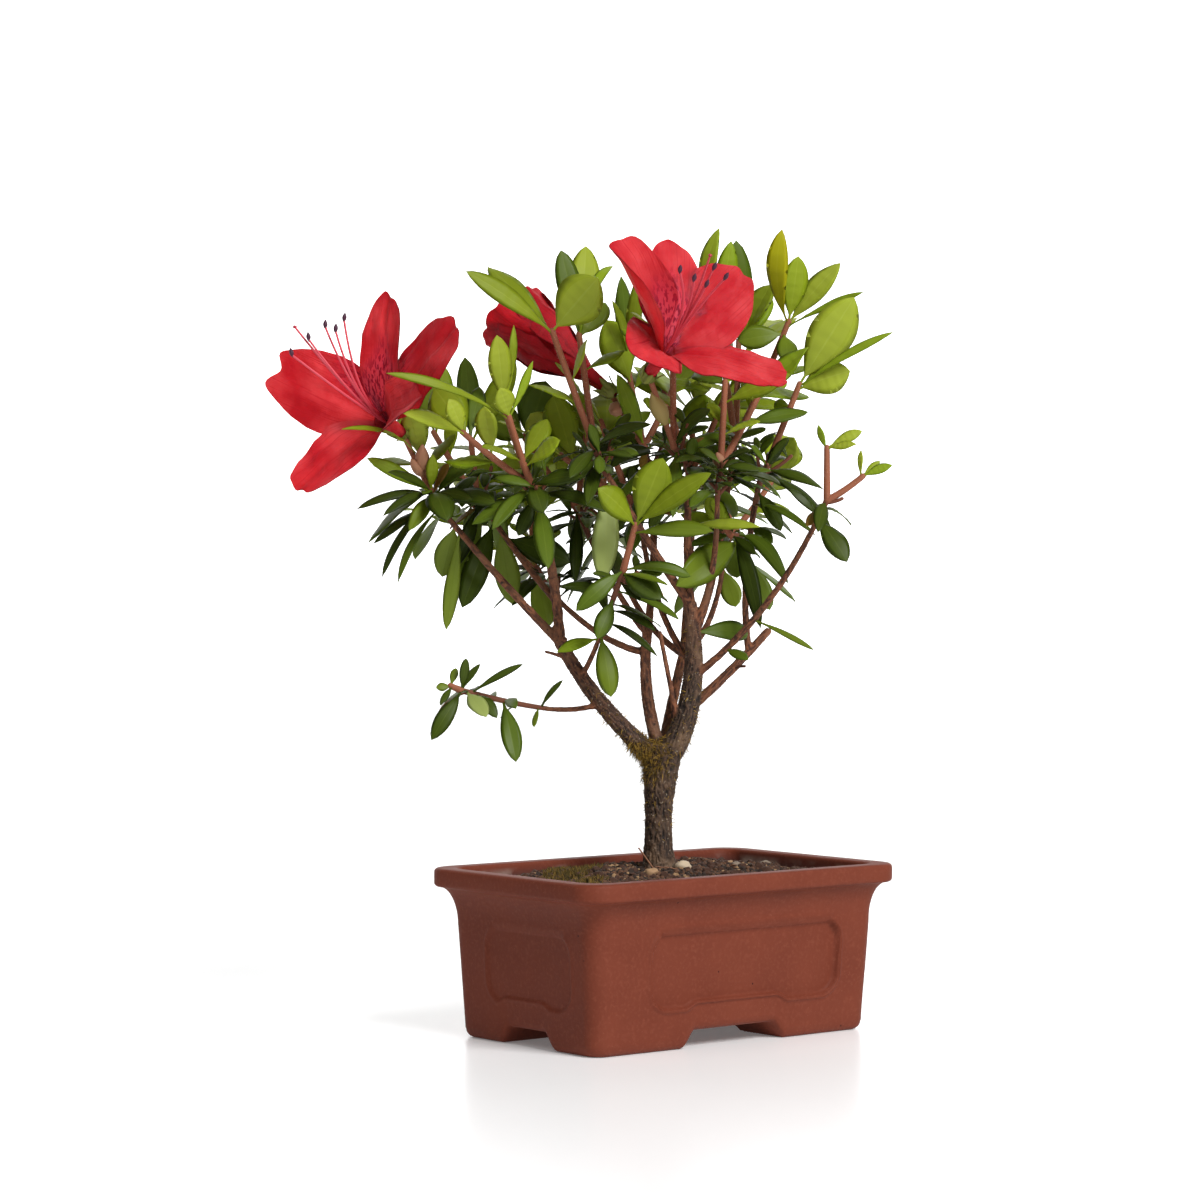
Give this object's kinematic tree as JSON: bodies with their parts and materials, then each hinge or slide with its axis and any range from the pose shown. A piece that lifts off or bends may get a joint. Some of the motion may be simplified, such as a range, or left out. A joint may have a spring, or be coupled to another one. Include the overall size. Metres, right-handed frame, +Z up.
{
  "type": "azalea bonsai in a pot",
  "caption": "Flowering azalea bonsai with open leafy crown, forked trunk and large red blooms, planted in a rectangular unglazed clay pot on corner feet.",
  "frame": {"origin": "bottom centre of the whole plant's bounding box, on the surface that the pot's feet stand on", "axes": "+X along the pot's long side, +Y along its short side, +Z up; the tree's pictured front faces between -X and -Y, turned 39 degrees about +Z from the pot's long side"},
  "size_m": [0.2118, 0.167, 0.26],
  "materials": {
    "clay": "matte",
    "soil": "matte",
    "bark": "matte",
    "leaf": "satin"
  },
  "bodies": {
    "root": {"pot": "clay", "soil": "soil", "trunk": "bark", "right_stem": "bark", "left_bough": "bark", "middle_stem": "bark", "rear_stem": "bark", "left_outer_limb": "bark", "left_inner_limb": "bark", "left_middle_limb": "bark", "front_twig": "bark", "low_left_twig": "bark", "centre_limb": "bark", "flower_limb": "bark", "right_inner_limb": "bark", "inner_limb": "bark", "right_back_limb": "bark", "long_twig": "bark", "right_low_bough": "bark", "right_shoot": "bark", "right_side_twig": "bark", "middle_left_limb": "bark", "middle_fork_limb": "bark", "middle_top_limb": "bark", "rear_left_limb": "bark", "rear_right_limb": "bark", "rear_top_limb": "bark", "left_flower_spray": "leaf", "left_shoulder_spray": "leaf", "left_crown_spray": "leaf", "low_left_spray": "leaf", "front_spray": "leaf", "centre_crown_spray": "leaf", "centre_flower_spray": "leaf", "right_inner_spray": "leaf", "middle_spray": "leaf", "right_crown_spray": "leaf", "right_top_spray": "leaf", "right_side_spray": "leaf", "right_twig_spray": "leaf", "back_left_spray": "leaf", "back_flower_spray": "leaf", "middle_fork_spray": "leaf", "rear_left_spray": "leaf", "rear_right_spray": "leaf", "rear_top_spray": "leaf"}
  },
  "joints": []
}
